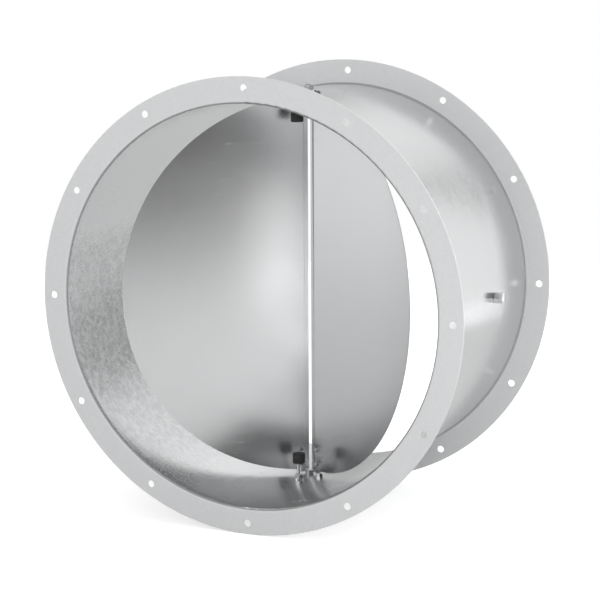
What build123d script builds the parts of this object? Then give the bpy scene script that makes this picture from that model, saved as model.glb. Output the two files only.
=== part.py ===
"""Round duct backdraft damper, nominal size 500, with two hinged half-disc flaps.

Millimetres. The origin is the middle of the casing. X points right, Y runs along the duct away from
the side that the flaps open to, and Z points up, along the hinge axis. The flaps are drawn half open.
"""

import os
from math import asin, cos, degrees, radians, sin, sqrt

from build123d import *

# Casing: one sheet-metal tube with its ends rolled out into flanges.
CASING_LENGTH = 318.0
CASING_INNER_D = 502.0
CASING_SHEET = 1.5
FLANGE_WIDTH = 33.5
FLANGE_BEND_R = 4.0
FLANGE_HOLE_FROM_RIM = 14.0
FLANGE_HOLE_COUNT = 12
FLANGE_HOLE_D = 9.0

# Flaps: two half discs, drawn at these angles from the closed position.
HINGE_Y = 31.0
HINGE_OFFSET = 3.6
FLAP_SHEET = 1.0
FLAP_WALL_GAP = 5.0
FLAP_EDGE_GAP = 0.5
FLAP_CORNER_R = 2.0
HEM_WIDTH = 5.3
LEFT_FLAP_ANGLE = 40.0
RIGHT_FLAP_ANGLE = 37.0

# Hinge: stub pins at the top and the bottom, each carrying an eye of both flaps.
PIN_D = 6.0
PIN_RUNNING_FIT = 0.05
PIN_COLLAR_D = 12.0
PIN_COLLAR_HEIGHT = 1.6
BRACKET_SHEET = 1.2
BRACKET_EYE_R = 5.6
BRACKET_GAP = 0.3
BRACKET_WIDTH = 12.4
BRACKET_HEIGHT = 35.0
BRACKET_CORNER_R = 3.0
BRACKET_BEND_R = 1.1
STRAP_LENGTH = 16.0
STRAP_REACH = 2.4
CLIP_WIDTH = 8.2
CLIP_HEIGHT = 18.0
CLIP_HEM_GAP = 0.4

# Rivets that hold the brackets, by their distance from the hinge axis and from the casing's wall.
RIVET_D = 4.0
RIVET_HEAD_D = 8.0
RIVET_HEAD_HEIGHT = 1.2
RIVET_TAIL_D = 5.5
RIVET_TAIL_HEIGHT = 3.5
RIVET_FROM_HINGE = 11.2
RIVET_FROM_WALL = (13.4, 32.8)
RIVET_HOLE_FIT = 0.05

# Open stops: rubber buffers on studs, in front of the hinge.
OPEN_STOP_FROM_HINGE = 35.5
BUFFER_D = 16.0
BUFFER_LENGTH = 13.0
BUFFER_REACH = 35.0
BUFFER_STUD_DEPTH = 8.0
BUFFER_EDGE_R = 0.6

# Close stops: bolts through the wall at both sides, behind the flaps' rims.
CLOSE_STOP_REACH = 15.0
CLOSE_STOP_GAP = 0.2

# Casing screws beside the hinge, on its right.
CASING_SCREW_X = 19.0
CASING_SCREW_FROM_HINGE = 13.0
CASING_SCREW_END = 0.3

# Pilot holes in the floor of the casing: angle from straight down, distance from the front face, diameter.
PILOT_HOLES = ((11.5, 147.0, 3.0), (16.0, 84.0, 2.0))

# Standard nuts, bolt heads and washers of the three threads: M5 for the casing screws, M6 for the open
# stops, M8 for the hinge pins and the close stops. A hexagon's width is across its flats.
M5_D = 5.0
M5_HEX_WIDTH = 8.0
M5_NUT_HEIGHT = 4.0
M5_HEAD_HEIGHT = 3.5
M6_D = 6.0
M6_HEX_WIDTH = 10.0
M6_NUT_HEIGHT = 5.0
M6_WASHER_D = 12.0
M8_D = 8.0
M8_HEX_WIDTH = 13.0
M8_NUT_HEIGHT = 6.5
M8_THIN_NUT_HEIGHT = 4.0
M8_HEAD_HEIGHT = 5.3
M8_WASHER_D = 16.0
WASHER_THICKNESS = 1.6
HEX_CHAMFER = 0.6
THREAD_END = 2.0
THREAD_FIT = 0.05
WALL_HOLE_FIT = 0.2

# How far every cutting tool runs past the surfaces that it cuts.
CUT_PAST = 5.0

INNER_R = CASING_INNER_D / 2
OUTER_R = INNER_R + CASING_SHEET
FLANGE_R = INNER_R + FLANGE_WIDTH
FLANGE_HOLE_CIRCLE_R = FLANGE_R - FLANGE_HOLE_FROM_RIM
FLAP_R = INNER_R - FLAP_WALL_GAP
FLAP_BACK = HINGE_OFFSET + FLAP_SHEET / 2
FLAP_FRONT = HINGE_OFFSET - FLAP_SHEET / 2
OPEN_STOP_Y = HINGE_Y - OPEN_STOP_FROM_HINGE
CLOSE_STOP_Y = HINGE_Y + FLAP_BACK + CLOSE_STOP_GAP + M8_D / 2
CASING_SCREW_Y = HINGE_Y - CASING_SCREW_FROM_HINGE
CASING_SCREW_ANGLE = degrees(asin(CASING_SCREW_X / INNER_R))
OUTER_EYE_OUT = FLAP_R + 2 * (BRACKET_GAP + BRACKET_SHEET)
INNER_EYE_OUT = FLAP_R + BRACKET_GAP + BRACKET_SHEET


def inside_seat(width):
    """Radius at which a flat piece of this width touches the casing's inner wall."""
    return sqrt(INNER_R**2 - (width / 2) ** 2)


def across_corners(flats):
    return flats / cos(radians(30))


def rod(radius, start, end):
    """A round bar along Z between two heights."""
    return Pos(0, 0, (start + end) / 2) * Cylinder(radius, end - start)


def hexagon(flats, start, end):
    """A hexagonal prism along Z with chamfered corners, as on a nut or a bolt head."""
    prism = extrude(Pos(0, 0, start) * RegularPolygon(flats / 2, 6, major_radius=False), end - start)
    corner_cone = Cone(
        across_corners(flats) / 2 + (end - start) - HEX_CHAMFER,
        across_corners(flats) / 2 - HEX_CHAMFER,
        end - start,
    )
    return prism & (Pos(0, 0, (start + end) / 2) * corner_cone)


def nut(thread, flats, start, height):
    bore = rod(thread / 2 + THREAD_FIT, start - CUT_PAST, start + height + CUT_PAST)
    return hexagon(flats, start, start + height) - bore


def washer(thread, diameter, start):
    end = start + WASHER_THICKNESS
    bore = rod(thread / 2 + WALL_HOLE_FIT, start - CUT_PAST, end + CUT_PAST)
    return rod(diameter / 2, start, end) - bore


def facing_inwards(shape, face):
    """A piece drawn upwards from zero, turned so that it starts at this radius and runs inwards."""
    return Pos(0, 0, face) * Rot(180, 0, 0) * shape


def stand_radially(shape, angle, y):
    """Turns a piece drawn along Z to an angle around the duct, measured from the top to the right."""
    return Rot(0, angle, 0) * Pos(0, y, 0) * shape


def at_top(shape, y):
    return stand_radially(shape, 0, y)


def at_bottom(shape, y):
    return stand_radially(shape, 180, y)


def group(*solids):
    return Compound(children=list(solids))


def casing():
    half = CASING_LENGTH / 2
    outline = Polyline(
        (INNER_R, -half),
        (FLANGE_R, -half),
        (FLANGE_R, -half + CASING_SHEET),
        (OUTER_R, -half + CASING_SHEET),
        (OUTER_R, half - CASING_SHEET),
        (FLANGE_R, half - CASING_SHEET),
        (FLANGE_R, half),
        (INNER_R, half),
        close=True,
    )
    section = make_face(outline)
    outside_bends = [v for v in section.vertices() if abs(v.X - INNER_R) < 0.01]
    section = fillet(outside_bends, FLANGE_BEND_R)
    inside_bends = [v for v in section.vertices() if abs(v.X - OUTER_R) < 0.01]
    section = fillet(inside_bends, FLANGE_BEND_R - CASING_SHEET)
    body = revolve(section, Axis.Y)

    flange_drill = Rot(90, 0, 0) * Cylinder(FLANGE_HOLE_D / 2, CASING_LENGTH + CUT_PAST)
    for step in range(FLANGE_HOLE_COUNT):
        angle = step * 360 / FLANGE_HOLE_COUNT
        body -= Rot(0, angle, 0) * Pos(0, 0, FLANGE_HOLE_CIRCLE_R) * flange_drill

    wall_holes = [
        (0, HINGE_Y, M8_D),
        (180, HINGE_Y, M8_D),
        (0, OPEN_STOP_Y, M6_D),
        (180, OPEN_STOP_Y, M6_D),
        (90, CLOSE_STOP_Y, M8_D),
        (-90, CLOSE_STOP_Y, M8_D),
        (CASING_SCREW_ANGLE, CASING_SCREW_Y, M5_D),
        (180 - CASING_SCREW_ANGLE, CASING_SCREW_Y, M5_D),
    ]
    for angle, y, thread in wall_holes:
        drill = rod(thread / 2 + WALL_HOLE_FIT, INNER_R - CUT_PAST, OUTER_R + CUT_PAST)
        body -= stand_radially(drill, angle, y)
    for angle, from_front, diameter in PILOT_HOLES:
        drill = rod(diameter / 2, INNER_R - CUT_PAST, OUTER_R + CUT_PAST)
        body -= stand_radially(drill, 180 + angle, from_front - half)
    return body


def rivet_points():
    """Rivet places on a flap, at both ends of its straight edge."""
    for end in (1, -1):
        for from_wall in RIVET_FROM_WALL:
            yield RIVET_FROM_HINGE, end * (INNER_R - from_wall)


def rivet_drill():
    """A cutter for one rivet hole, along Y through the flap and its bracket."""
    return Rot(90, 0, 0) * Cylinder(RIVET_D / 2 + RIVET_HOLE_FIT, 6 * HINGE_OFFSET)


def closed_flap():
    """The right flap in the closed position, with the hinge axis at the origin."""
    disc = Circle(FLAP_R)
    sheet = disc & (Pos(FLAP_EDGE_GAP + FLAP_R, 0) * Rectangle(2 * FLAP_R, 3 * FLAP_R))
    corners = [v for v in sheet.vertices() if abs(v.X - FLAP_EDGE_GAP) < 0.01]
    sheet = fillet(corners, FLAP_CORNER_R)
    hem = sheet & (Pos(FLAP_EDGE_GAP + HEM_WIDTH / 2, 0) * Rectangle(HEM_WIDTH, 3 * FLAP_R))
    plate = Pos(0, FLAP_BACK, 0) * Rot(90, 0, 0) * extrude(sheet, FLAP_SHEET)
    plate += Pos(0, FLAP_FRONT, 0) * Rot(90, 0, 0) * extrude(hem, FLAP_SHEET)
    fold = plate.edges().filter_by(Axis.Z).filter_by(
        lambda e: abs(e.center().X - FLAP_EDGE_GAP) < 0.01
    )
    plate = fillet(fold, 0.45 * FLAP_SHEET)
    for x, z in rivet_points():
        plate -= Pos(x, 0, z) * rivet_drill()
    return plate


def bracket(eye_out, with_clip):
    """A hinge bracket at the upper end of the right flap, closed, with the hinge axis at the origin.

    eye_out is the distance of the eye's outer face from the middle of the duct. The leg lies on the
    back of the flap, and the clip, where there is one, grips its front.
    """
    leg_back = FLAP_BACK + BRACKET_SHEET
    strap_front = FLAP_FRONT - BRACKET_SHEET if with_clip else FLAP_FRONT - STRAP_REACH
    leg_start = RIVET_FROM_HINGE - BRACKET_WIDTH / 2
    foot = Pos(0, 0, eye_out - BRACKET_SHEET / 2) * Cylinder(BRACKET_EYE_R, BRACKET_SHEET)
    foot += Pos(STRAP_LENGTH / 2, (leg_back + strap_front) / 2, eye_out - BRACKET_SHEET / 2) * Box(
        STRAP_LENGTH, leg_back - strap_front, BRACKET_SHEET
    )
    leg_low = FLAP_R - BRACKET_HEIGHT
    leg = Pos(RIVET_FROM_HINGE, FLAP_BACK + BRACKET_SHEET / 2, (eye_out + leg_low) / 2) * Box(
        BRACKET_WIDTH, BRACKET_SHEET, eye_out - leg_low
    )
    leg_corners = leg.edges().filter_by(Axis.Y).group_by(Axis.Z)[0]
    leg = fillet(leg_corners, BRACKET_CORNER_R)
    body = foot + leg
    if with_clip:
        clip_start = FLAP_EDGE_GAP + HEM_WIDTH + CLIP_HEM_GAP
        clip = Pos(
            clip_start + CLIP_WIDTH / 2, FLAP_FRONT - BRACKET_SHEET / 2, eye_out - CLIP_HEIGHT / 2
        ) * Box(CLIP_WIDTH, BRACKET_SHEET, CLIP_HEIGHT)
        clip_corners = clip.edges().filter_by(Axis.Y).group_by(Axis.Z)[0]
        body += fillet(clip_corners, BRACKET_CORNER_R / 2)
    outer_bend = body.edges().filter_by(Axis.X).filter_by(
        lambda e: abs(e.center().Z - eye_out) < 0.01 and abs(e.center().Y - leg_back) < 0.01
    )
    body = fillet(outer_bend, BRACKET_BEND_R)
    body -= Pos(0, 0, eye_out) * Cylinder(PIN_D / 2 + PIN_RUNNING_FIT, 4 * BRACKET_SHEET)
    for x, z in rivet_points():
        body -= Pos(x, 0, z) * rivet_drill()
    return body


def rivet(grip_front):
    """A set blind rivet along Y at the origin: head behind the bracket, closed end in front."""
    back = FLAP_BACK + BRACKET_SHEET
    head = Pos(0, 0, back + RIVET_HEAD_HEIGHT / 2) * Cylinder(RIVET_HEAD_D / 2, RIVET_HEAD_HEIGHT)
    head = fillet(head.edges().group_by(Axis.Z)[-1], 0.8 * RIVET_HEAD_HEIGHT)
    body = head + rod(RIVET_D / 2, grip_front, back)
    tail = rod(RIVET_TAIL_D / 2, grip_front - RIVET_TAIL_HEIGHT, grip_front)
    tail = fillet(tail.edges(), 0.25 * RIVET_TAIL_HEIGHT)
    body += tail
    return Rot(-90, 0, 0) * body


def closed_rivets():
    solids = []
    for x, z in rivet_points():
        clipped = z > 0 and z > OUTER_EYE_OUT - CLIP_HEIGHT
        front = FLAP_FRONT - BRACKET_SHEET if clipped else FLAP_FRONT
        solids.append(Pos(x, 0, z) * rivet(front))
    return group(*solids)


def hang_right(shape):
    return Pos(0, HINGE_Y, 0) * Rot(0, 0, -RIGHT_FLAP_ANGLE) * shape


def hang_left(shape):
    return Pos(0, HINGE_Y, 0) * Rot(0, 0, LEFT_FLAP_ANGLE) * Rot(0, 180, 0) * shape


def hinge_pin():
    """A stub pin along Z: thread through the wall, collar against its inside, plain pin inwards."""
    collar_out = inside_seat(PIN_COLLAR_D)
    body = rod(PIN_D / 2, FLAP_R + 1.5 * BRACKET_GAP, collar_out)
    body += rod(PIN_COLLAR_D / 2, collar_out - PIN_COLLAR_HEIGHT, collar_out)
    thread_end = OUTER_R + WASHER_THICKNESS + M8_NUT_HEIGHT + THREAD_END
    body += rod(M8_D / 2, collar_out, thread_end)
    return body


def open_stop_stud():
    inner = INNER_R - BUFFER_REACH + BUFFER_LENGTH - BUFFER_STUD_DEPTH
    outer = OUTER_R + WASHER_THICKNESS + M6_NUT_HEIGHT + THREAD_END
    return rod(M6_D / 2, inner, outer)


def rubber_buffer():
    inner = INNER_R - BUFFER_REACH
    body = rod(BUFFER_D / 2, inner, inner + BUFFER_LENGTH)
    body = fillet(body.edges(), BUFFER_EDGE_R)
    socket_start = inner + BUFFER_LENGTH - BUFFER_STUD_DEPTH
    return body - rod(M6_D / 2, socket_start, inner + BUFFER_LENGTH + CUT_PAST)


def open_stop_inner_washer():
    return facing_inwards(washer(M6_D, M6_WASHER_D, 0), inside_seat(M6_WASHER_D))


def open_stop_inner_nut():
    face = inside_seat(M6_WASHER_D) - WASHER_THICKNESS
    return facing_inwards(nut(M6_D, M6_HEX_WIDTH, 0, M6_NUT_HEIGHT), face)


def open_stop_outer_washer():
    return washer(M6_D, M6_WASHER_D, OUTER_R)


def open_stop_outer_nut():
    return nut(M6_D, M6_HEX_WIDTH, OUTER_R + WASHER_THICKNESS, M6_NUT_HEIGHT)


def hinge_pin_washer():
    return washer(M8_D, M8_WASHER_D, OUTER_R)


def hinge_pin_nut():
    return nut(M8_D, M8_HEX_WIDTH, OUTER_R + WASHER_THICKNESS, M8_NUT_HEIGHT)


def close_stop_bolt():
    """A hexagon bolt along Z, its head outside over the lock nut and its shank reaching inwards."""
    head_start = OUTER_R + M8_NUT_HEIGHT
    head = hexagon(M8_HEX_WIDTH, head_start, head_start + M8_HEAD_HEIGHT)
    shank = rod(M8_D / 2, INNER_R - CLOSE_STOP_REACH, head_start)
    shank = chamfer(shank.edges().group_by(Axis.Z)[0], HEX_CHAMFER)
    return head + shank


def close_stop_lock_nut():
    return nut(M8_D, M8_HEX_WIDTH, OUTER_R, M8_NUT_HEIGHT)


def close_stop_inner_nut():
    thin_nut = nut(M8_D, M8_HEX_WIDTH, 0, M8_THIN_NUT_HEIGHT)
    return facing_inwards(thin_nut, inside_seat(across_corners(M8_HEX_WIDTH)))


def casing_screw():
    head = hexagon(M5_HEX_WIDTH, OUTER_R, OUTER_R + M5_HEAD_HEIGHT)
    seat = inside_seat(across_corners(M5_HEX_WIDTH))
    return head + rod(M5_D / 2, seat - M5_NUT_HEIGHT - CASING_SCREW_END, OUTER_R)


def casing_screw_nut():
    full_nut = nut(M5_D, M5_HEX_WIDTH, 0, M5_NUT_HEIGHT)
    return facing_inwards(full_nut, inside_seat(across_corners(M5_HEX_WIDTH)))


def top_and_bottom(shape, y):
    return group(at_top(shape, y), at_bottom(shape, y))


def both_sides(shape, y):
    return group(stand_radially(shape, 90, y), stand_radially(shape, -90, y))


def beside_hinge(shape):
    upper = stand_radially(shape, CASING_SCREW_ANGLE, CASING_SCREW_Y)
    lower = stand_radially(shape, 180 - CASING_SCREW_ANGLE, CASING_SCREW_Y)
    return group(upper, lower)


def build():
    flap = closed_flap()
    rivets = closed_rivets()
    clip_bracket = bracket(OUTER_EYE_OUT, True)
    plain_bracket = mirror(bracket(INNER_EYE_OUT, False), Plane.XY)
    pin = hinge_pin()
    stud = open_stop_stud()
    buffer = rubber_buffer()
    stop_bolt = close_stop_bolt()
    return {
        "casing": casing(),
        "right_flap": hang_right(flap),
        "right_flap_upper_bracket": hang_right(clip_bracket),
        "right_flap_lower_bracket": hang_right(plain_bracket),
        "right_flap_rivets": hang_right(rivets),
        "left_flap": hang_left(flap),
        "left_flap_lower_bracket": hang_left(clip_bracket),
        "left_flap_upper_bracket": hang_left(plain_bracket),
        "left_flap_rivets": hang_left(rivets),
        "upper_hinge_pin": at_top(pin, HINGE_Y),
        "lower_hinge_pin": at_bottom(pin, HINGE_Y),
        "hinge_pin_washers": top_and_bottom(hinge_pin_washer(), HINGE_Y),
        "hinge_pin_nuts": top_and_bottom(hinge_pin_nut(), HINGE_Y),
        "upper_open_stop_stud": at_top(stud, OPEN_STOP_Y),
        "lower_open_stop_stud": at_bottom(stud, OPEN_STOP_Y),
        "upper_rubber_buffer": at_top(buffer, OPEN_STOP_Y),
        "lower_rubber_buffer": at_bottom(buffer, OPEN_STOP_Y),
        "open_stop_inner_washers": top_and_bottom(open_stop_inner_washer(), OPEN_STOP_Y),
        "open_stop_inner_nuts": top_and_bottom(open_stop_inner_nut(), OPEN_STOP_Y),
        "open_stop_outer_washers": top_and_bottom(open_stop_outer_washer(), OPEN_STOP_Y),
        "open_stop_outer_nuts": top_and_bottom(open_stop_outer_nut(), OPEN_STOP_Y),
        "right_close_stop_bolt": stand_radially(stop_bolt, 90, CLOSE_STOP_Y),
        "left_close_stop_bolt": stand_radially(stop_bolt, -90, CLOSE_STOP_Y),
        "close_stop_lock_nuts": both_sides(close_stop_lock_nut(), CLOSE_STOP_Y),
        "close_stop_inner_nuts": both_sides(close_stop_inner_nut(), CLOSE_STOP_Y),
        "casing_screws": beside_hinge(casing_screw()),
        "casing_screw_nuts": beside_hinge(casing_screw_nut()),
    }


def main():
    os.makedirs("parts", exist_ok=True)
    for name, shape in build().items():
        export_step(shape, f"parts/{name}.step")


if __name__ == "__main__":
    main()
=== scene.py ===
"""Scene of the round duct backdraft damper: threads, rivets, finishes, studio and camera.

Metres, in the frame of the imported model: the origin is the middle of the casing, X points right,
Y runs along the duct away from the front flange, and Z points up along the hinge axis.
"""

from math import asin, cos, degrees, pi, radians

import bpy
from mathutils import Matrix, Vector


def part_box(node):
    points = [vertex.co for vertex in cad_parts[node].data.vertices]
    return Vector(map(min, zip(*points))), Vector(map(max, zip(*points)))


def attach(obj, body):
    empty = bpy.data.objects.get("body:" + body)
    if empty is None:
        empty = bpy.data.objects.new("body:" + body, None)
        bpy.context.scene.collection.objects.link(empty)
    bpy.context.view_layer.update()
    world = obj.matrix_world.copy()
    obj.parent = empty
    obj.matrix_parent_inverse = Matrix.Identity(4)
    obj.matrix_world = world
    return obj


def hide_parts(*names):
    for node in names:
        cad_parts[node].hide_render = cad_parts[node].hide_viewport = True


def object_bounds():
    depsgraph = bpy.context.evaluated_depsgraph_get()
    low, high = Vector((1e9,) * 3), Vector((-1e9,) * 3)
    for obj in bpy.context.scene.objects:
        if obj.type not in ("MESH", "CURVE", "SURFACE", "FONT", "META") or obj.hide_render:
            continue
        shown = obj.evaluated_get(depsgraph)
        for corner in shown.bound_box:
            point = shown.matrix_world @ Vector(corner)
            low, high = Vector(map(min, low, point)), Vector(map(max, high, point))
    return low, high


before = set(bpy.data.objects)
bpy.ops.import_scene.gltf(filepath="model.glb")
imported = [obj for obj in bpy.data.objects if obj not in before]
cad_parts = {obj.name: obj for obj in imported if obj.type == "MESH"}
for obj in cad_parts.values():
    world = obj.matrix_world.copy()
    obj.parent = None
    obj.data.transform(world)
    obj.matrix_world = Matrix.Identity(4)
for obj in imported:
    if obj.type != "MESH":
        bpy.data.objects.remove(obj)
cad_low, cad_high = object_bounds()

# The view of the photograph.
CAMERA_PLACE = (1.1733, -2.5563, 0.4847)
CAMERA_TURN = radians(24.64)
CAMERA_TILT = radians(10.06)
CAMERA_ROLL = radians(-0.30)
CAMERA_LENS_MM = 133.07
CAMERA_SENSOR_MM = 36.0

# Casing and flaps, as the model has them. The wall's bends start at one distance from its middle,
# and the backs of the flanges lie at another.
INNER_R = 0.251
OUTER_R = 0.2525
BEND_START = 0.155
FLANGE_BACK = 0.1575
HINGE_Y = 0.031
OPEN_STOP_Y = -0.0045
CLOSE_STOP_Y = 0.0393
CASING_SCREW_Y = 0.018
CASING_SCREW_ANGLE = degrees(asin(0.019 / INNER_R))
LEFT_FLAP_ANGLE = radians(40)
RIGHT_FLAP_ANGLE = radians(37)

# Rivets of a closed flap: their places, and the faces of the flap, the clip and the bracket.
RIVET_FROM_HINGE = 0.0112
RIVET_HEIGHTS = (0.2376, 0.2182)
FLAP_FRONT = 0.0031
CLIP_FRONT = 0.0019
BRACKET_BACK = 0.0053

# Threads: major radius, root radius and pitch.
M5 = (0.0025, 0.00207, 0.0008)
M6 = (0.0030, 0.00246, 0.0010)
M8 = (0.0040, 0.00334, 0.00125)
THREAD_STEPS = 28
ROUND_STEPS = 32

# Heads and nuts: width across the flats and height.
M5_FLATS = 0.008
M5_HEAD = 0.0035
M8_FLATS = 0.013
M8_HEAD = 0.0053
M8_NUT = 0.0065
HEAD_FACE_R = 0.0058
CASING_SCREW_INSIDE = 0.00434

# Hinge pins: plain pin, collar and chamfer. A thread reaches a little way into its head or collar.
PIN_R = 0.003
PIN_CHAMFER = 0.0004
COLLAR_R = 0.006
COLLAR_HEIGHT = 0.0016
THREAD_OVERLAP = 0.0005

# Studio: the even light, the dim room in reflections, and the size of the white table.
PLAIN_LIGHT = 0.72
DIM_ROOM = 0.05
BACKDROP_LOW = 0.50
BACKDROP_HIGH = 1.15
FLOOR_R = 2.0


def deselect():
    bpy.ops.object.select_all(action="DESELECT")


def only(piece):
    deselect()
    piece.select_set(True)
    bpy.context.view_layer.objects.active = piece


def named(name):
    piece = bpy.context.active_object
    piece.name = name
    piece.data.name = name
    return piece


def apply_modifiers(piece):
    only(piece)
    for modifier in list(piece.modifiers):
        bpy.ops.object.modifier_apply(modifier=modifier.name)


def join(name, pieces):
    """One mesh out of several closed pieces."""
    deselect()
    for piece in pieces:
        piece.select_set(True)
    bpy.context.view_layer.objects.active = pieces[0]
    bpy.ops.object.join()
    return named(name)


def settle(piece, matrix):
    """Moves a piece to its place and keeps that place in its mesh."""
    only(piece)
    piece.matrix_world = matrix
    bpy.ops.object.transform_apply(location=True, rotation=True, scale=True)
    return piece


def smooth(piece, angle=radians(35)):
    only(piece)
    bpy.ops.object.shade_smooth_by_angle(angle=angle)
    return piece


def turned(name, start, steps, sides=ROUND_STEPS):
    """A lathe-turned piece along Z: a disc at start, drawn out step by step to (radius, height)."""
    deselect()
    radius, height = start
    bpy.ops.mesh.primitive_circle_add(
        vertices=sides, radius=radius, fill_type="NGON", location=(0, 0, height)
    )
    piece = named(name)
    bpy.ops.object.transform_apply(location=True, rotation=False, scale=False)
    bpy.ops.object.mode_set(mode="EDIT")
    bpy.ops.mesh.select_all(action="SELECT")
    for next_radius, next_height in steps:
        bpy.ops.mesh.extrude_region_move(
            TRANSFORM_OT_translate={"value": (0, 0, next_height - height)}
        )
        factor = next_radius / radius
        bpy.ops.transform.resize(
            value=(factor, factor, 1), center_override=(0, 0, next_height)
        )
        radius, height = next_radius, next_height
    bpy.ops.mesh.select_all(action="SELECT")
    bpy.ops.mesh.normals_make_consistent(inside=False)
    bpy.ops.object.mode_set(mode="OBJECT")
    return piece


def thread(name, size, low, high):
    """A screw thread along Z between two heights: a round core and the ridge that winds round it,
    sunk a little into the core."""
    major, root, pitch = size
    sunk = 0.00008
    half_foot = 0.46 * pitch
    core = turned(
        name + "_core",
        (root - pitch / 3, low),
        [(root, low + pitch / 3), (root, high - pitch / 3), (root - pitch / 3, high)],
    )
    deselect()
    bpy.ops.mesh.primitive_circle_add(vertices=3, radius=pitch / 2)
    ridge = named(name + "_ridge")
    bpy.ops.object.mode_set(mode="EDIT")
    bpy.ops.mesh.select_all(action="SELECT")
    bpy.ops.transform.rotate(value=pi / 2, orient_axis="X", center_override=(0, 0, 0))
    bpy.ops.object.mode_set(mode="OBJECT")
    profile = ((major, 0), (root - sunk, -half_foot), (root - sunk, half_foot))
    for corner, (x, z) in zip(ridge.data.vertices, profile):
        corner.co = (x, 0, low + pitch + z)
    screw = ridge.modifiers.new("wind", "SCREW")
    screw.axis = "Z"
    screw.angle = 2 * pi
    screw.screw_offset = pitch
    screw.iterations = int((high - low) / pitch) - 1
    screw.steps = THREAD_STEPS
    screw.render_steps = THREAD_STEPS
    screw.use_merge_vertices = False
    apply_modifiers(ridge)
    bpy.ops.object.mode_set(mode="EDIT")
    bpy.ops.mesh.select_all(action="DESELECT")
    bpy.ops.mesh.select_mode(type="EDGE")
    bpy.ops.mesh.select_non_manifold()
    bpy.ops.mesh.edge_face_add()
    bpy.ops.mesh.select_all(action="SELECT")
    bpy.ops.mesh.normals_make_consistent(inside=False)
    bpy.ops.object.mode_set(mode="OBJECT")
    return join(name, [core, ridge])


def hexagon(name, flats, low, high, both_ends=False):
    """A bolt head or nut blank along Z, with its corners turned off at the outer end or at both.
    The turned form that does it is wider than the corners, and its cones run on past the ends."""
    corners = flats / 2 / cos(pi / 6)
    deselect()
    bpy.ops.mesh.primitive_cylinder_add(
        vertices=6, radius=corners, depth=high - low, location=(0, 0, (low + high) / 2)
    )
    blank = named(name)
    bpy.ops.object.transform_apply(location=True, rotation=True, scale=True)
    face = flats / 2 * 0.97
    wide = corners * 1.02
    drop = (wide - face) * 0.55
    tip = face - (wide - face) / 2
    past = drop / 2
    first = (tip, low - past) if both_ends else (wide, low - 0.001)
    rise = [(wide, low + drop)] if both_ends else []
    tool = turned(name + "_tool", first, rise + [(wide, high - drop), (tip, high + past)], sides=48)
    cut = blank.modifiers.new("chamfer", "BOOLEAN")
    cut.operation = "INTERSECT"
    cut.object = tool
    apply_modifiers(blank)
    bpy.data.objects.remove(tool)
    return blank


def close_stop_lock_nuts():
    """The two nuts that lock the close stop bolts against the outside of the casing."""
    nuts = []
    for side, angle in (("right", 90), ("left", -90)):
        nut = hexagon(side + "_lock_nut", M8_FLATS, OUTER_R, OUTER_R + M8_NUT, both_ends=True)
        nuts.append(settle(nut, around(angle, CLOSE_STOP_Y)))
    pair = smooth(join("close_stop_lock_nut_pair", nuts))
    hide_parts("close_stop_lock_nuts")
    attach(pair, "casing")
    return [pair]


def around(angle, y):
    """The place of a piece drawn along Z, turned round the duct from the top towards the right."""
    return Matrix.Rotation(radians(angle), 4, "Y") @ Matrix.Translation((0, y, 0))


def threaded_studs():
    """The studs that carry the rubber buffers, at the top and the bottom."""
    made = []
    for node, angle in (("upper_open_stop_stud", 0), ("lower_open_stop_stud", 180)):
        low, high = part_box(node)
        inner, outer = sorted((abs(low.z), abs(high.z)))
        stud = thread(node + "_thread", M6, inner, outer)
        smooth(settle(stud, around(angle, OPEN_STOP_Y)))
        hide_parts(node)
        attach(stud, "casing")
        made.append(stud)
    return made


def threaded_hinge_pins():
    """The stub pins of the hinge: plain pin and collar inside the duct, thread through the wall."""
    made = []
    for node, angle in (("upper_hinge_pin", 0), ("lower_hinge_pin", 180)):
        low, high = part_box(node)
        inner, outer = sorted((abs(low.z), abs(high.z)))
        collar_out = (INNER_R**2 - COLLAR_R**2) ** 0.5
        collar_in = collar_out - COLLAR_HEIGHT
        collar_edge = PIN_CHAMFER / 2
        plain = turned(
            node + "_plain",
            (PIN_R - PIN_CHAMFER, inner),
            [
                (PIN_R, inner + PIN_CHAMFER),
                (PIN_R, collar_in),
                (COLLAR_R - collar_edge, collar_in),
                (COLLAR_R, collar_in + collar_edge),
                (COLLAR_R, collar_out - collar_edge),
                (COLLAR_R - collar_edge, collar_out),
            ],
        )
        shank = thread(node + "_thread", M8, collar_out - THREAD_OVERLAP, outer)
        pin = join(node + "_turned", [plain, shank])
        smooth(settle(pin, around(angle, HINGE_Y)))
        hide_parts(node)
        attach(pin, "casing")
        made.append(pin)
    return made


def close_stop_bolts():
    """The bolts behind the flaps' rims, head outside and thread reaching into the duct."""
    made = []
    for node, angle in (("right_close_stop_bolt", 90), ("left_close_stop_bolt", -90)):
        low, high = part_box(node)
        inner, outer = sorted((abs(low.x), abs(high.x)))
        head_start = outer - M8_HEAD
        head = hexagon(node + "_head", M8_FLATS, head_start, outer)
        face = turned(
            node + "_face", (HEAD_FACE_R, head_start - 0.0002), [(HEAD_FACE_R, head_start + 0.001)]
        )
        shank = thread(node + "_thread", M8, inner, head_start + THREAD_OVERLAP)
        bolt = join(node + "_threaded", [head, face, shank])
        smooth(settle(bolt, around(angle, CLOSE_STOP_Y)))
        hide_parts(node)
        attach(bolt, "casing")
        made.append(bolt)
    return made


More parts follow.
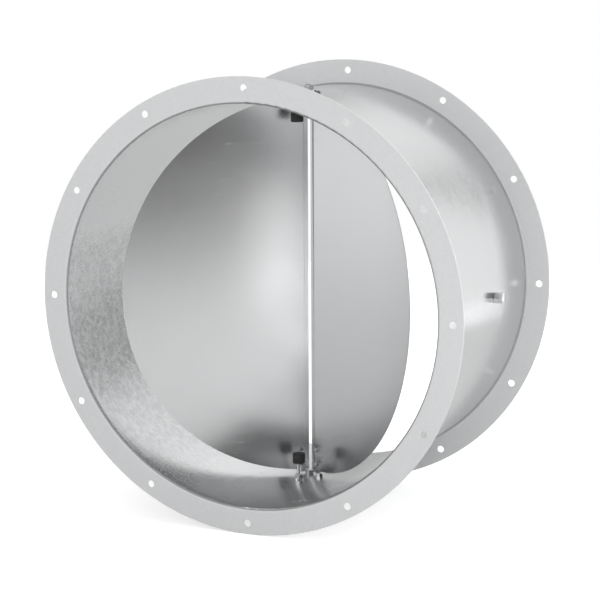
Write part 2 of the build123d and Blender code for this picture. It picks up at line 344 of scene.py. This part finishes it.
def casing_screws():
    """The two small screws beside the hinge, head outside and thread through their nuts inside."""
    screws = []
    for end, angle in (("upper", CASING_SCREW_ANGLE), ("lower", 180 - CASING_SCREW_ANGLE)):
        head = hexagon(end + "_screw_head", M5_FLATS, OUTER_R, OUTER_R + M5_HEAD)
        shank = thread(
            end + "_screw_thread", M5, INNER_R - CASING_SCREW_INSIDE, OUTER_R + THREAD_OVERLAP
        )
        screw = join(end + "_screw", [head, shank])
        screws.append(settle(screw, around(angle, CASING_SCREW_Y)))
    pair = smooth(join("casing_screw_pair", screws))
    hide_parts("casing_screws")
    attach(pair, "casing")
    return [pair]


def set_rivet(name, front):
    """A set blind rivet along Z: its bulb in front of the sheets, and behind them its domed head
    with the hole where the stem broke off. Its profile is in millimetres."""
    bulb = (
        (1.25, -3.4), (1.35, -2.9), (2.10, -2.8), (2.60, -2.4), (2.75, -1.8), (2.65, -0.8),
        (2.20, -0.1), (2.00, 0.0),
    )
    head = (
        (2.00, 0.0), (4.00, 0.0), (4.00, 0.2), (3.50, 0.7), (2.60, 1.05), (1.40, 1.2), (1.05, 1.15),
        (0.98, 0.5),
    )
    steps = [(radius / 1000, front + height / 1000) for radius, height in bulb]
    steps += [(radius / 1000, BRACKET_BACK + height / 1000) for radius, height in head]
    return turned(name, (0.0007, front - 0.0035), steps, sides=24)


def flap_rivets():
    """Four blind rivets on each flap, two at each end of its straight edge."""
    made = []
    lay_down = Matrix.Rotation(-pi / 2, 4, "X")
    for flap, turn in (
        ("right_flap", Matrix.Rotation(-RIGHT_FLAP_ANGLE, 4, "Z")),
        ("left_flap", Matrix.Rotation(LEFT_FLAP_ANGLE, 4, "Z") @ Matrix.Rotation(pi, 4, "Y")),
    ):
        rivets = []
        for end in (1, -1):
            for height in RIVET_HEIGHTS:
                clipped = end == 1 and height == RIVET_HEIGHTS[0]
                rivet = set_rivet("blind_rivet", CLIP_FRONT if clipped else FLAP_FRONT)
                place = Matrix.Translation((RIVET_FROM_HINGE, 0, end * height))
                hinge = Matrix.Translation((0, HINGE_Y, 0))
                rivets.append(settle(rivet, hinge @ turn @ place @ lay_down))
        group = smooth(join(flap + "_blind_rivets", rivets))
        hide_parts(flap + "_rivets")
        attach(group, flap)
        made.append(group)
    return made


class Wire:
    """A number that changes over a surface. Arithmetic on it adds the Math nodes."""

    def __init__(self, nodes, socket):
        self.nodes = nodes
        self.socket = socket

    def math(self, operation, *values):
        sockets = dict(enumerate(values))
        made = self.nodes.node("ShaderNodeMath", {"operation": operation}, sockets)
        return Wire(self.nodes, made.outputs[0])

    def __add__(self, other):
        return self.math("ADD", self, other)

    def __sub__(self, other):
        return self.math("SUBTRACT", self, other)

    def __rsub__(self, other):
        return self.math("SUBTRACT", other, self)

    def __mul__(self, other):
        return self.math("MULTIPLY", self, other)

    def __pow__(self, other):
        return self.math("POWER", self, other)

    __radd__ = __add__
    __rmul__ = __mul__

    def above(self, low, high):
        """Rises smoothly from 0 to 1 between two values."""
        made = self.nodes.node(
            "ShaderNodeMapRange",
            {"interpolation_type": "SMOOTHSTEP"},
            {"Value": self, "From Min": low, "From Max": high},
        )
        return Wire(self.nodes, made.outputs[0])


class Nodes:
    """The nodes of one material or of the world."""

    def __init__(self, tree):
        self.tree = tree

    def node(self, kind, settings=None, sockets=None):
        """A node with its settings, and with a value or a link for each socket that is named."""
        made = self.tree.nodes.new(kind)
        for key, value in (settings or {}).items():
            setattr(made, key, value)
        for key, value in (sockets or {}).items():
            self.feed(made.inputs[key], value)
        return made

    def feed(self, socket, value):
        if isinstance(value, Wire):
            self.tree.links.new(value.socket, socket)
        elif isinstance(value, bpy.types.NodeSocket):
            self.tree.links.new(value, socket)
        else:
            socket.default_value = value


class Finish(Nodes):
    """A material round one Principled shader, with its nodes added by plain calls."""

    def __init__(self, name, metallic=1.0, roughness=0.4):
        self.material = bpy.data.materials.new(name)
        self.material.use_nodes = True
        super().__init__(self.material.node_tree)
        self.shader = self.tree.nodes["Principled BSDF"]
        self.shader.inputs["Metallic"].default_value = metallic
        self.shader.inputs["Roughness"].default_value = roughness
        self.coordinates = self.node("ShaderNodeTexCoord").outputs["Object"]

    def axes(self):
        split = self.node("ShaderNodeSeparateXYZ", None, {0: self.coordinates})
        return [Wire(self, output) for output in split.outputs]

    def stretched(self, stretch, turn=0.0):
        """Object coordinates, turned about Z and then stretched along each axis."""
        place = self.coordinates
        if turn:
            sockets = {"Vector": place, "Rotation": (0, 0, turn)}
            place = self.node("ShaderNodeMapping", {"vector_type": "POINT"}, sockets).outputs[0]
        return self.node("ShaderNodeMapping", None, {"Vector": place, "Scale": stretch}).outputs[0]

    def noise(self, size, detail, stretch=(1, 1, 1), turn=0.0):
        """Soft random value between 0 and 1, with patches of about this size in metres."""
        place = self.stretched(stretch, turn)
        sockets = {"Vector": place, "Scale": 1 / size, "Detail": detail}
        return Wire(self, self.node("ShaderNodeTexNoise", None, sockets).outputs[0])

    def crystals(self, size, wander):
        """A random value for each zinc crystal of about this size in metres. The crystals' edges
        wander by up to about half as much as wander says."""
        sockets = {"Vector": self.coordinates, "Scale": 1.6 / size, "Detail": 2.0}
        swirl = self.node("ShaderNodeTexNoise", None, sockets).outputs["Color"]
        sockets = {0: swirl, 1: (wander,) * 3, 2: self.coordinates}
        shaken = self.node("ShaderNodeVectorMath", {"operation": "MULTIPLY_ADD"}, sockets)
        sockets = {"Vector": shaken.outputs[0], "Scale": 1 / size}
        cells = self.node("ShaderNodeTexVoronoi", {"feature": "F1"}, sockets)
        split = self.node("ShaderNodeSeparateColor", None, {0: cells.outputs["Color"]})
        return Wire(self, split.outputs[0])

    def blend(self, factor, first, second):
        """The first colour where the factor is 0 and the second where it is 1."""
        made = self.node(
            "ShaderNodeMix",
            {"data_type": "RGBA", "clamp_factor": True},
            {0: factor, 6: first, 7: second},
        )
        return made.outputs[2]

    def bump(self, height, depth, under=None):
        """Surface relief of this depth in metres. A relief may lie on top of another."""
        sockets = {"Height": height, "Distance": depth, "Strength": 1.0}
        if under is not None:
            sockets["Normal"] = under
        return self.node("ShaderNodeBump", None, sockets).outputs[0]

    def finish(self, colour, roughness, normal):
        for name, value in (("Base Color", colour), ("Roughness", roughness), ("Normal", normal)):
            self.feed(self.shader.inputs[name], value)
        return self.material


def grey(value, blue=0.012):
    """A cool metal grey."""
    return (value, value + blue / 2, value + blue, 1)


def galvanised_casing():
    """Hot-dip galvanised sheet: matt pale flanges and a shinier rolled wall with faint zinc
    crystals.
    Painted reflection: a darker mottled area low on the left inside, fainter over the rest of the
    inside. Painted
    shade: dark lines in the outer bend where each flange meets the wall, and on the inner edge of
    each flange."""
    sheet = Finish("galvanised casing")
    x, y, z = sheet.axes()
    radius = (x * x + z * z) ** 0.5
    flange = radius.above(INNER_R + 0.0022, INNER_R + 0.0055)
    inside = 1 - radius.above(INNER_R + 0.0002, INNER_R + 0.0008)
    # Painted reflection: a mask for the darker mottled area low on the left inside, with a faint
    # trace over the rest of the inside.
    low_left = (x * -1).above(0.08, 0.17) * (z * -1).above(-0.09, -0.045)
    painted_reflection_patch = inside * (0.15 + 0.85 * low_left)
    crystals = sheet.crystals(0.0034, wander=0.002)
    clouds = sheet.noise(0.05, detail=3)
    grain = sheet.noise(0.0011, detail=1)
    mottle = sheet.noise(0.0085, detail=3).above(0.15, 0.85)
    mottle = 0.6 * mottle + 0.2 * grain + 0.2 * crystals
    depth = (y * y) ** 0.5
    # Painted shade: a mask for a dark line along the outer bend where each flange leaves the wall.
    painted_crease_shade = depth.above(BEND_START - 0.0022, BEND_START + 0.0005)
    painted_crease_shade = painted_crease_shade * (1 - depth.above(FLANGE_BACK, FLANGE_BACK + 0.0003))
    painted_crease_shade = painted_crease_shade * radius.above(OUTER_R - 0.0004, OUTER_R + 0.0001)
    painted_crease_shade = painted_crease_shade * (1 - radius.above(OUTER_R + 0.0008, OUTER_R + 0.0028))
    rim = depth.above(BEND_START + 0.0008, BEND_START + 0.0018)
    # Painted shade: a mask for a thin dark line round the inner edge of each flange.
    painted_lip_shade = rim * (1 - radius.above(OUTER_R - 0.0004, OUTER_R + 0.0016))
    matt = flange.math("MAXIMUM", flange, rim)
    wall = sheet.blend(0.3 * crystals + 0.3 * clouds + 0.4 * grain, grey(0.63), grey(0.71))
    # Painted reflection: the wall there turns darker and mottled.
    wall = sheet.blend(painted_reflection_patch, wall, sheet.blend(mottle, grey(0.42), grey(0.72)))
    face = sheet.blend(0.25 * crystals + 0.75 * grain, grey(0.60), grey(0.68))
    colour = sheet.blend(flange, wall, face)
    # Painted shade darkens the outer bend between the wall and each flange.
    colour = sheet.blend(0.6 * painted_crease_shade, colour, grey(0.20))
    # Painted shade darkens the inner edge of each flange.
    colour = sheet.blend(0.8 * painted_lip_shade, colour, grey(0.16))
    wall_roughness = 0.17 + 0.06 * crystals + 0.05 * clouds + 0.12 * painted_reflection_patch * mottle
    roughness = wall_roughness + matt * (0.55 - wall_roughness) + 0.2 * painted_crease_shade
    sheet.feed(sheet.shader.inputs["Metallic"], 1 - 0.9 * matt)
    away_from_bends = 1 - depth.above(BEND_START - 0.010, BEND_START - 0.001)
    relief = sheet.bump(grain, 0.000012)
    relief = sheet.bump(clouds * away_from_bends, 0.0003, under=relief)
    return sheet.finish(colour, roughness, relief)


def aluminium_flap(turn):
    """Satin mill-finish aluminium with faint rolling lines across the flap."""
    sheet = Finish("aluminium flap")
    lines = sheet.noise(0.0016, detail=2, stretch=(0.03, 1, 1), turn=turn)
    clouds = sheet.noise(0.06, detail=2)
    grain = sheet.noise(0.0008, detail=1)
    colour = sheet.blend(0.6 * lines + 0.4 * grain, grey(0.74), grey(0.80))
    roughness = 0.21 + 0.05 * lines + 0.04 * clouds
    relief = sheet.bump(lines * 0.6 + grain * 0.4, 0.00001)
    return sheet.finish(colour, roughness, relief)


def galvanised_bracket():
    """Pressed galvanised strip with small zinc crystals."""
    sheet = Finish("galvanised bracket")
    crystals = sheet.crystals(0.0022, wander=0.001)
    grain = sheet.noise(0.0006, detail=2)
    colour = sheet.blend(0.5 * crystals + 0.5 * grain, grey(0.52), grey(0.68))
    relief = sheet.bump(grain, 0.00003)
    return sheet.finish(colour, 0.26 + 0.12 * crystals, relief)


def bright_zinc_plate():
    """Thin electroplated zinc on nuts, washers and bolts, with tool marks and a few dull spots."""
    plate = Finish("bright zinc plate")
    marks = plate.noise(0.0005, detail=2)
    dull = plate.noise(0.004, detail=3).above(0.55, 0.75)
    colour = plate.blend(dull, grey(0.86, 0.02), grey(0.62, 0.02))
    return plate.finish(colour, 0.14 + 0.06 * marks + 0.14 * dull, plate.bump(marks, 0.000008))


def turned_pin_steel():
    """Turned steel with fine rings from the tool."""
    steel = Finish("turned pin steel")
    rings = steel.noise(0.0003, detail=1, stretch=(0.05, 0.05, 1))
    colour = steel.blend(rings, grey(0.58), grey(0.70))
    return steel.finish(colour, 0.20 + 0.12 * rings, steel.bump(rings, 0.00001))


def rivet_aluminium():
    """Rivet aluminium, scuffed all over and darker than the flaps."""
    metal = Finish("rivet aluminium")
    scuffs = metal.noise(0.0009, detail=3)
    colour = metal.blend(scuffs, grey(0.42), grey(0.60))
    return metal.finish(colour, 0.14 + 0.14 * scuffs, metal.bump(scuffs, 0.00001))


def buffer_rubber():
    """Matt black moulded rubber, a little greyer where it is dusty."""
    rubber = Finish("buffer rubber", metallic=0.0)
    pores = rubber.noise(0.0007, detail=3)
    dust = rubber.noise(0.006, detail=3).above(0.45, 0.8)
    colour = rubber.blend(dust, (0.020, 0.020, 0.021, 1), (0.055, 0.054, 0.052, 1))
    return rubber.finish(colour, 0.55 + 0.20 * pores, rubber.bump(pores, 0.00008))


def dress():
    """Gives every node of the model and every new piece its finish."""
    zinc = bright_zinc_plate()
    bracket = galvanised_bracket()
    rivets = rivet_aluminium()
    sheets = {
        "casing": galvanised_casing(),
        "left_flap": aluminium_flap(-LEFT_FLAP_ANGLE),
        "right_flap": aluminium_flap(RIGHT_FLAP_ANGLE),
    }
    pin = turned_pin_steel()
    rubber = buffer_rubber()
    for name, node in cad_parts.items():
        if name in sheets:
            finish = sheets[name]
        elif "bracket" in name:
            finish = bracket
        elif "rivets" in name:
            finish = rivets
        elif "rubber" in name:
            finish = rubber
        elif name.endswith("hinge_pin"):
            finish = pin
        else:
            finish = zinc
        for slot in node.material_slots:
            slot.material = finish
    for piece in threaded_studs() + close_stop_bolts() + close_stop_lock_nuts() + casing_screws():
        piece.data.materials.append(zinc)
    for piece in flap_rivets():
        piece.data.materials.append(rivets)
    for piece in threaded_hinge_pins():
        piece.data.materials.append(pin)


def studio_world():
    """Plain even light. In reflections there is a white backdrop behind the part, a white ceiling
    over it and the dim room in front of it, and the camera sees plain white all round."""
    world = bpy.data.worlds.new("studio")
    bpy.context.scene.world = world
    world.use_nodes = True
    room = Nodes(world.node_tree)
    background = room.tree.nodes["Background"]
    background.inputs["Color"].default_value = (1, 1, 1, 1)
    direction = room.node("ShaderNodeTexCoord").outputs["Generated"]
    split = room.node("ShaderNodeSeparateXYZ", None, {0: direction})
    along, up = (Wire(room, split.outputs[axis]) for axis in "YZ")
    backdrop = along.above(-0.25, 0.35)
    ceiling = up.above(0.7, 0.95)
    around_part = backdrop.math("MAXIMUM", backdrop, ceiling)
    brightness = BACKDROP_LOW + (BACKDROP_HIGH - BACKDROP_LOW) * up.above(0.22, 0.44)
    reflected = DIM_ROOM + (brightness - DIM_ROOM) * around_part
    path = room.node("ShaderNodeLightPath").outputs
    camera_ray = Wire(room, path["Is Camera Ray"])
    glossy_ray = Wire(room, path["Is Glossy Ray"])
    clear_ray = Wire(room, path["Is Transmission Ray"])
    strength = PLAIN_LIGHT + glossy_ray * (reflected - PLAIN_LIGHT)
    strength = strength + camera_ray.math("MAXIMUM", camera_ray, clear_ray) * (1 - PLAIN_LIGHT)
    room.feed(background.inputs["Strength"], strength)


def studio_floor():
    """A white table under the casing that keeps the soft shadow of the part."""
    deselect()
    bpy.ops.mesh.primitive_circle_add(
        vertices=96, radius=FLOOR_R, fill_type="NGON", location=(0, 0, cad_low.z - 0.0002)
    )
    floor = named("floor")
    bpy.ops.object.transform_apply(location=True, rotation=True, scale=True)
    table = Finish("white floor", metallic=0.0, roughness=0.9)
    table.shader.inputs["Base Color"].default_value = (0.70, 0.70, 0.70, 1)
    table.shader.inputs["Specular IOR Level"].default_value = 0.0
    path = table.node("ShaderNodeLightPath").outputs
    seen = Wire(table, path["Is Camera Ray"])
    glossy = Wire(table, path["Is Glossy Ray"])
    mirrored = glossy.math("MAXIMUM", glossy, Wire(table, path["Is Transmission Ray"]))
    glow = table.node("ShaderNodeEmission", None, {"Strength": 0.60 * seen + 0.04 * mirrored})
    both = table.node("ShaderNodeAddShader", None, {0: table.shader.outputs[0], 1: glow.outputs[0]})
    table.feed(table.tree.nodes["Material Output"].inputs["Surface"], both.outputs[0])
    floor.data.materials.append(table.material)


def softbox(name, place, aim, width, height, brightness):
    """A soft lamp of even brightness, where 1 is as bright as white paper in plain light."""
    light = bpy.data.lights.new(name, "AREA")
    light.shape = "RECTANGLE"
    light.size = width
    light.size_y = height
    light.energy = brightness * width * height * pi
    lamp = bpy.data.objects.new(name, light)
    bpy.context.scene.collection.objects.link(lamp)
    lamp.location = place
    lamp.rotation_euler = (Vector(aim) - Vector(place)).to_track_quat("-Z", "Y").to_euler()
    lamp.visible_camera = False
    return lamp


def studio_lights():
    """Softboxes that only the metal mirrors, and fill lamps that only light matt surfaces."""
    mirrored = (
        softbox("front softbox", (-0.6, -2.8, -0.03), (-0.1, 0, 0), 2.2, 0.95, 1.35),
        softbox("left softbox", (-2.3, -1.9, 1.0), (0, 0, 0), 2.2, 2.2, 1.7),
        softbox("high left softbox", (-1.6, -1.8, 2.4), (0, 0, 0), 1.9, 1.7, 1.5),
        softbox("strip softbox", (0.351, -0.235, -0.01), (-0.02, 0.02, 0.05), 0.10, 0.20, 0.9),
        softbox("high front softbox", (0.2, -1.7, 1.95), (0, 0, 0), 1.4, 0.6, 0.8),
        softbox("back right softbox", (0.70, 0.52, 0.12), (0.32, 0, 0.10), 0.62, 0.66, 0.62),
    )
    for lamp in mirrored:
        lamp.visible_diffuse = False
    fills = (
        softbox("top fill lamp", (0.2, 0.6, 2.4), (0, 0, 0), 2.4, 2.0, 1.1),
        softbox("front fill lamp", (1.7, -2.6, 0.9), (0, 0, 0), 1.4, 1.4, 3.4),
        softbox("side fill lamp", (2.0, -0.3, 0.3), (0, 0, 0), 0.9, 0.9, 9.0),
    )
    for lamp in fills:
        lamp.visible_glossy = False


def photo_camera():
    camera = bpy.data.objects.new("photo camera", bpy.data.cameras.new("photo camera"))
    bpy.context.scene.collection.objects.link(camera)
    camera.data.sensor_width = CAMERA_SENSOR_MM
    camera.data.lens = CAMERA_LENS_MM
    turn = Matrix.Rotation(CAMERA_TURN, 4, "Z")
    tilt = Matrix.Rotation(pi / 2 - CAMERA_TILT, 4, "X")
    roll = Matrix.Rotation(CAMERA_ROLL, 4, "Z")
    camera.matrix_world = Matrix.Translation(CAMERA_PLACE) @ turn @ tilt @ roll
    bpy.context.scene.camera = camera


bpy.context.scene.view_settings.view_transform = "Standard"
photo_camera()
studio_world()
studio_floor()
studio_lights()
dress()
